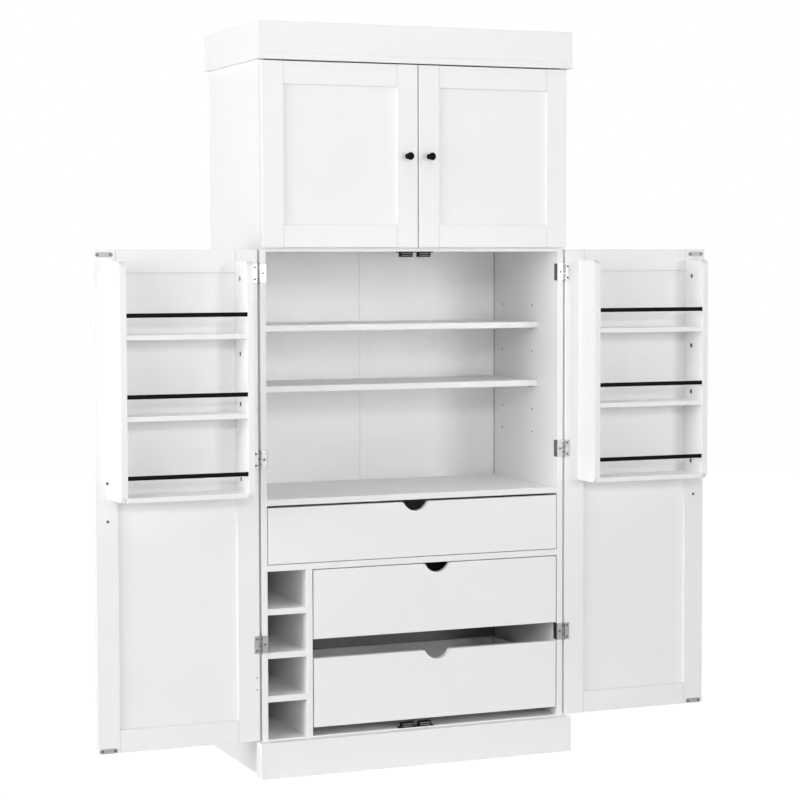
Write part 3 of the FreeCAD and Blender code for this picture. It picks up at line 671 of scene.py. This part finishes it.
def cross_fastener(place, way, recess, outline):
    """A fastener with a cross recess in its face. Rings run from the floor of the recess, which is
    narrower than its mouth, out over the face and down the outside; the two rings of the recess
    have the cross's reach as their radius, the others a constant one. The recess is given as the
    reach of an arm, half its width, and how deep its floor and its mouth lie, and the outline as
    pairs of radius and depth."""
    arm, half, floor, face = recess
    turn = np.concatenate([QUARTER_TURNS + quadrant * math.pi / 2 for quadrant in range(4)])
    cross = cross_reach(turn, arm, half)
    radius = np.stack([0.6 * cross, cross] + [np.full_like(turn, each) for each, _ in outline])
    rise = np.array([floor, face] + [each for _, each in outline])
    first, second = across(way)
    circle = np.cos(turn)[:, None] * first + np.sin(turn)[:, None] * second
    rings = np.asarray(place) + rise[:, None, None] * unit(way) + radius[:, :, None] * circle
    return ring_surface(rings)


def wood_screw(points):
    """A countersunk screw, its flat head flush with the sheet it holds."""
    place, way = head_end(points)
    radius = np.ptp(points, axis=0)[int(axle(points) == 0)] / 2
    length = np.ptp(points, axis=0)[axle(points)]
    outline = [(0.86 * radius, 0.0), (0.97 * radius, 0.05 * radius),
               (0.5 * radius, 0.4 * radius), (0.5 * radius, length)]
    return cross_fastener(place, way, (0.70 * radius, 0.22 * radius, 0.6 * radius, 0.0), outline)


def pan_screw(points):
    """A machine screw with a low domed head."""
    place, way = head_end(points)
    radius = 0.85 * np.ptp(points, axis=0)[int(axle(points) == 0)] / 2
    length = np.ptp(points, axis=0)[axle(points)]
    head = 0.4 * radius
    outline = [(0.72 * radius, 0.04 * radius), (0.90 * radius, 0.13 * radius),
               (radius, 0.26 * radius), (radius, head), (0.5 * radius, head),
               (0.5 * radius, length)]
    return cross_fastener(place, way, (0.58 * radius, 0.15 * radius, 0.34 * radius, 0.0), outline)


def cam(points, inwards):
    """A cam let into a rack's side board, its crossed face a little below the board's."""
    low, high = extent(points)
    place = (low + high) / 2
    place[0] = high[0] if inwards > place[0] else low[0]
    way = (1.0, 0.0, 0.0) if inwards < place[0] else (-1.0, 0.0, 0.0)
    radius = (high[2] - low[2]) / 2
    depth = high[0] - low[0]
    recess = (0.72 * radius, 0.24 * radius, CAM_RECESS_FLOOR, CAM_SETBACK)
    outline = [(0.80 * radius, CAM_SETBACK), (0.88 * radius, 0.5 * MM), (0.95 * radius, 0.5 * MM),
               (0.95 * radius, depth)]
    return cross_fastener(place, way, recess, outline)


def is_cam(points):
    """Whether a fastener is a cam, which is wider than it is deep."""
    size = np.ptp(points, axis=0)
    return size[axle(points)] < np.median(size)


def fasteners():
    """Every screw and cam, in place of the plain ones."""
    make_piece("screws_cabinet", [wood_screw(points) for points in solids("frame_screws")],
               finishes["screw_steel"], "carcass", ["frame_screws"])
    for side in BOTH_SIDES:
        door = "lower_%s_door" % side
        low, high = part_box(door + "_rack_shelves")
        inwards = (low[0] + high[0]) / 2
        surfaces = []
        for points in solids(door + "_fasteners"):
            if is_cam(points):
                surfaces.append(cam(points, inwards))
            elif is_through_screw(points):
                surfaces.append(pan_screw(points))
            else:
                surfaces.append(wood_screw(points))
        make_piece("screws_lower_%s" % side, surfaces, finishes["screw_steel"], door,
                   [door + "_fasteners"])


def hinge_pins():
    """The pins of the butt hinges, with crowned heads at both ends."""
    surfaces = []
    for points in solids("butt_hinge_pins"):
        low, high = extent(points)
        radius = (high[0] - low[0]) / 2
        length = high[2] - low[2]
        crown = [(0.30 * radius, 0.0), (0.75 * radius, 0.10 * MM), (0.95 * radius, 0.35 * MM),
                 (radius, 0.7 * MM), (radius, 1.0 * MM), (0.56 * radius, 1.0 * MM)]
        profile = crown + [(each, length - rise) for each, rise in reversed(crown)]
        start = ((low[0] + high[0]) / 2, (low[1] + high[1]) / 2, low[2])
        surfaces.append(turned(profile, start, UPWARDS, 20))
    make_piece("pins_butt_hinges", surfaces, finishes["hinge_nickel"], "carcass",
               ["butt_hinge_pins"])


def shelf_pins():
    """The pins under the adjustable shelves: a collar against the panel and a rounded end."""
    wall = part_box("side_panel_right")[0][0]
    surfaces = []
    for points in solids("shelf_pins"):
        low, high = extent(points)
        centre = (low + high) / 2
        radius = (high[2] - low[2]) / 2
        side = np.sign(centre[0])
        start = np.array([side * np.abs([low[0], high[0]]).max(), centre[1], centre[2]])
        buried = abs(start[0]) - wall
        length = high[0] - low[0]
        profile = [(0.8 * radius, 0.0), (0.98 * radius, 0.6 * MM), (0.98 * radius, buried),
                   (1.15 * radius, buried + 0.05 * MM), (1.2 * radius, buried + 0.45 * MM),
                   (1.15 * radius, buried + 0.85 * MM), (radius, buried + 0.9 * MM),
                   (radius, length - 1.0 * MM), (0.8 * radius, length - 0.3 * MM),
                   (0.4 * radius, length)]
        surfaces.append(turned(profile, start, (-side, 0, 0), 20))
    make_piece("pins_shelves", surfaces, finishes["hinge_nickel"], "carcass", ["shelf_pins"])


fasteners()
hinge_pins()
shelf_pins()


# ---- rack bars and catches ----
BAR_EASE = 1.1 * MM
CATCH_EASE = 0.7 * MM
CATCH_WALL = 2.4 * MM
CATCH_CORE_SETBACK = 1.6 * MM
CATCH_EAR = 2.5 * MM
POLE_SHRINK = 0.22               # the share of a pole plate's height taken off each side
POLE_EASE = 0.25 * MM
STRIKE_HOLE = 3.1 * MM           # radius of a screw hole, and how far it is from the middle
STRIKE_HOLE_OFFSET = 15.0 * MM
STRIKE_EASE = 0.35 * MM
STRIKE_SETBACK = 0.1 * MM        # how far the face lies below the heads of its screws


def rack_bars():
    """The flat black bars across the door racks, with rounded edges."""
    for side in BOTH_SIDES:
        door = "lower_%s_door" % side
        surfaces = [eased_block(*extent(points), BAR_EASE)
                    for points in solids(door + "_rack_bars")]
        make_piece("bars_rack_%s" % side, surfaces, finishes["iron_black"], door,
                   [door + "_rack_bars"])


def catch_surfaces(points):
    """One catch: a thin eared base, and a case of four walls round a core that sits further
    back."""
    low, high = extent(points)
    slack = 0.1 * MM
    upper = points[points[:, 2] > high[2] - slack]
    lower = points[points[:, 2] < low[2] + slack]
    ears_up = np.ptp(upper[:, 0]) > np.ptp(lower[:, 0])
    body = lower if ears_up else upper
    left, right = body[:, 0].min(), body[:, 0].max()
    base_low, base_high = low.copy(), high.copy()
    if ears_up:
        base_low[2] = high[2] - CATCH_EAR
    else:
        base_high[2] = low[2] + CATCH_EAR
    front, back, bottom, top = low[1], high[1], low[2], high[2]
    inside_left, inside_right = left + CATCH_WALL, right - CATCH_WALL
    inside_bottom, inside_top = bottom + CATCH_WALL, top - CATCH_WALL
    boxes = [(base_low, base_high),
             ((left, front, bottom), (inside_left, back, top)),
             ((inside_right, front, bottom), (right, back, top)),
             ((left, front, bottom), (right, back, inside_bottom)),
             ((left, front, inside_top), (right, back, top)),
             ((inside_left - CATCH_EASE, front + CATCH_CORE_SETBACK, inside_bottom - CATCH_EASE),
              (inside_right + CATCH_EASE, back - CATCH_EASE, inside_top + CATCH_EASE))]
    return [eased_block(*box, CATCH_EASE) for box in boxes]


def pole_plate(points):
    """The bright edge of a pole plate, thinner than the plain one it stands in for."""
    low, high = extent(points)
    shrink = POLE_SHRINK * (high[2] - low[2])
    low[2] += shrink
    high[2] -= shrink
    return eased_block(low, high, POLE_EASE)


def catches():
    """The magnetic catches: their cases, and the two steel plates at the mouth of each."""
    surfaces = []
    for points in solids("catch_cases"):
        surfaces += catch_surfaces(points)
    make_piece("catch_housings", surfaces, finishes["catch_black"], "carcass", ["catch_cases"])
    make_piece("catch_poles", [pole_plate(points) for points in solids("catch_pole_plates")],
               finishes["strike_steel"], "carcass", ["catch_pole_plates"])


def strike_half(low, high, side):
    """Half of a strike plate, with one screw hole: rings run through the hole, over the face and
    round the edge. Seen from the hole, the outline is a half circle outwards, and inwards a box
    that ends in the middle of the plate, at the lesser of its reaches along and across."""
    radius = (high[2] - low[2]) / 2
    middle = (low + high) / 2
    out = (high[0] - low[0]) / 2 - radius
    corner = math.pi - math.atan2(radius, STRIKE_HOLE_OFFSET)
    above = np.array([0.55 * math.pi, 0.7 * math.pi, corner, 0.95 * math.pi])
    outward = np.linspace(-math.pi / 2, math.pi / 2, 15)
    turn = np.concatenate([outward, above, 2 * math.pi - above[::-1]])
    cosine, sine = np.cos(turn), np.sin(turn)
    boxed = np.minimum(STRIKE_HOLE_OFFSET / np.maximum(-cosine, NOTHING),
                       radius / np.maximum(abs(sine), NOTHING))
    is_round = np.arange(len(turn)) < len(outward)

    def edge(inset):
        x = np.where(is_round, out + (radius - inset) * cosine, STRIKE_HOLE_OFFSET + boxed * cosine)
        z = np.where(is_round, (radius - inset) * sine, boxed * sine * (1 - inset / radius))
        return x, z

    hole = STRIKE_HOLE_OFFSET + STRIKE_HOLE * cosine, STRIKE_HOLE * sine
    back, front = high[1], low[1]
    rings = []
    for (x, z), y in ((hole, back), (hole, front), (edge(STRIKE_EASE), front),
                      (edge(0.0), front + STRIKE_EASE), (edge(0.0), back)):
        rings.append(np.stack([middle[0] + side * x, np.full_like(x, y), middle[2] + z], axis=1))
    return ring_surface(np.array(rings), looped=True)


def strike_halves(points):
    """A strike plate, as two halves that meet in its middle."""
    low, high = extent(points)
    low[1] += STRIKE_SETBACK
    return [strike_half(low, high, side) for side in (-1, 1)]


def strikes():
    """The plates on the lower doors that the catches hold."""
    for side in BOTH_SIDES:
        door = "lower_%s_door" % side
        surfaces = []
        for points in solids(door + "_strike_plates"):
            surfaces += strike_halves(points)
        make_piece("strikes_lower_%s" % side, surfaces, finishes["strike_steel"], door,
                   [door + "_strike_plates"])


rack_bars()
catches()
strikes()


# ---- stage, light and camera ----
CAMERA_PLACE = (-2.1213, -5.1880, 1.2400)
CAMERA_YAW = math.radians(22.416)
CAMERA_PITCH = math.radians(3.584)
CAMERA_ROLL = math.radians(-0.132)
CAMERA_LENS = 100.96
CAMERA_SENSOR = 36.0
FLOOR_REACH = 40.0
MIDDLE = (0.0, 0.0, 0.9)
COMPARTMENT = (0.0, 0.1, 1.07)


def studio_floor():
    """A wide white floor, overexposed where it is looked at so that it runs into the background."""
    made = Finish("studio_floor")
    seen = made.node("ShaderNodeLightPath", {}, {}, "Is Camera Ray")
    board = made.node("ShaderNodeBsdfDiffuse", {}, {"Color": (0.86, 0.86, 0.86, 1.0)})
    glow = made.node("ShaderNodeEmission", {}, {"Color": WHITE, "Strength": 1.1})
    made.output(made.node("ShaderNodeMixShader", {}, {0: seen * 0.9, 1: board, 2: glow}))
    corners = np.array([(-1, -1, 0), (1, -1, 0), (1, 1, 0), (-1, 1, 0)]) * FLOOR_REACH
    mesh = bpy.data.meshes.new("studio_floor")
    mesh.from_pydata(corners.tolist(), [], [(0, 1, 2, 3)])
    mesh.materials.append(made.material)
    floor = bpy.data.objects.new("studio_floor", mesh)
    bpy.context.scene.collection.objects.link(floor)


def soft_box(name, place, target, width, height, power, spread=180.0):
    """A rectangular soft light that faces a target, in metres and watts, with a grid before it
    where the spread, in degrees, is small."""
    light = bpy.data.lights.new(name, "AREA")
    light.shape = "RECTANGLE"
    light.size, light.size_y = width, height
    light.energy = power
    light.spread = math.radians(spread)
    lamp = bpy.data.objects.new(name, light)
    back = unit(np.subtract(place, target))
    side = unit(np.cross(UPWARDS, back))
    lift = np.cross(back, side)
    axes = Matrix([[side[i], lift[i], back[i]] for i in range(3)]).to_4x4()
    lamp.matrix_world = Matrix.Translation(place) @ axes
    bpy.context.scene.collection.objects.link(lamp)


def surroundings():
    """An even white background that is seen and mirrored, but casts no light on matt surfaces."""
    world = bpy.data.worlds.new("surroundings")
    made = Maker(world)
    strength = 1 - made.node("ShaderNodeLightPath", {}, {}, "Is Diffuse Ray")
    background = made.node("ShaderNodeBackground", {}, {"Color": WHITE, "Strength": strength})
    made.node("ShaderNodeOutputWorld", {}, {"Surface": background})
    bpy.context.scene.world = world


def studio_camera():
    """A long lens from the left, a little above the middle of the cabinet."""
    camera = bpy.data.cameras.new("camera")
    camera.lens = CAMERA_LENS
    camera.sensor_width = CAMERA_SENSOR
    camera.clip_start, camera.clip_end = 0.1, 100.0
    body = bpy.data.objects.new("camera", camera)
    yaw = Matrix.Rotation(-CAMERA_YAW, 4, "Z")
    pitch = Matrix.Rotation(math.pi / 2 - CAMERA_PITCH, 4, "X")
    roll = Matrix.Rotation(CAMERA_ROLL, 4, "Z")
    body.matrix_world = Matrix.Translation(CAMERA_PLACE) @ yaw @ pitch @ roll
    bpy.context.scene.collection.objects.link(body)
    bpy.context.scene.camera = body


studio_floor()
surroundings()
soft_box("overhead", (-0.5, -2.0, 5.0), MIDDLE, 3.0, 3.0, 45.0)
soft_box("right_fill", (4.2, -3.6, 2.4), MIDDLE, 2.4, 2.4, 26.0)
soft_box("left_bank", (-5.0, -2.5, 2.6), MIDDLE, 3.5, 3.5, 83.0)
soft_box("left_low", (-6.0, -0.6, 0.8), MIDDLE, 1.5, 1.5, 62.0)
soft_box("left_middle", (-6.0, -1.2, 1.4), MIDDLE, 2.0, 2.0, 118.0)
soft_box("front_right", (2.5, -6.5, 1.6), MIDDLE, 1.5, 1.5, 88.0)
soft_box("front_high", (-1.8, -7.8, 3.2), MIDDLE, 1.0, 1.0, 106.0)
soft_box("front_low", (-1.6, -7.9, 0.32), MIDDLE, 0.5, 0.5, 28.0)
soft_box("compartment_grid", (-0.6, -6.5, 1.1), COMPARTMENT, 0.72, 0.34, 0.13, 4.0)
soft_box("rear_fill", (1.5, 6.5, 2.8), MIDDLE, 3.0, 3.0, 170.0)
studio_camera()
bpy.context.scene.view_settings.view_transform = "Standard"
